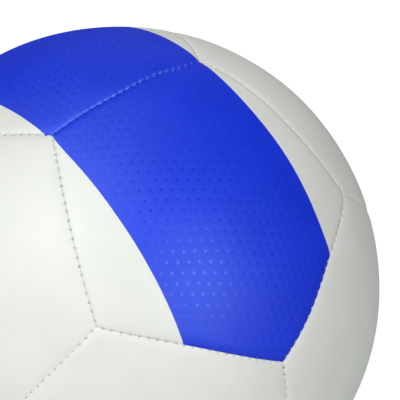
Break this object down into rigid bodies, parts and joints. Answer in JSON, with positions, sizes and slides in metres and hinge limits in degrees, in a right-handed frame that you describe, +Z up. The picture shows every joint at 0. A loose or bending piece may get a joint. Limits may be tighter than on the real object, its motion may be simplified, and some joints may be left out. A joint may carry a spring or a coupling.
{
  "type": "mini football",
  "caption": "Small inflatable football: five-sided skin panels with foam and lining, sewn edge to edge round a rubber bladder with a pump valve whose core pulls out.",
  "frame": {"origin": "centre of the ball", "axes": "+Z up, through the middle of the seam between the two upper blue panels, which runs along X; -Y is the side towards the camera"},
  "size_m": [0.1454, 0.1454, 0.1454],
  "materials": {
    "skin_blue": "satin",
    "skin_white": "satin",
    "foam": "matte",
    "lining": "matte",
    "thread": "matte",
    "bladder": "matte",
    "patch": "matte",
    "valve_housing": "satin",
    "valve_core": "satin"
  },
  "bodies": {
    "ball": {"front_top_panel": "skin_blue", "rear_top_panel": "skin_blue", "front_bottom_panel": "skin_blue", "rear_bottom_panel": "skin_blue", "right_upper_panel": "skin_white", "left_upper_panel": "skin_white", "right_lower_panel": "skin_white", "left_lower_panel": "skin_white", "rear_right_panel": "skin_white", "rear_left_panel": "skin_white", "front_right_panel": "skin_white", "front_left_panel": "skin_white", "front_top_foam": "foam", "rear_top_foam": "foam", "front_bottom_foam": "foam", "rear_bottom_foam": "foam", "right_upper_foam": "foam", "left_upper_foam": "foam", "right_lower_foam": "foam", "left_lower_foam": "foam", "rear_right_foam": "foam", "rear_left_foam": "foam", "front_right_foam": "foam", "front_left_foam": "foam", "front_top_lining": "lining", "rear_top_lining": "lining", "front_bottom_lining": "lining", "rear_bottom_lining": "lining", "right_upper_lining": "lining", "left_upper_lining": "lining", "right_lower_lining": "lining", "left_lower_lining": "lining", "rear_right_lining": "lining", "rear_left_lining": "lining", "front_right_lining": "lining", "front_left_lining": "lining", "seam_threads": "thread", "bladder": "bladder", "valve_patch": "patch", "valve_housing": "valve_housing"},
    "core": {"valve_core": "valve_core"}
  },
  "joints": [
    {"name": "core_pull", "type": "slide", "parent": "ball", "child": "core", "axis": [-0.5257, -0.8507, 0], "range_m": [0, 0.013]}
  ]
}
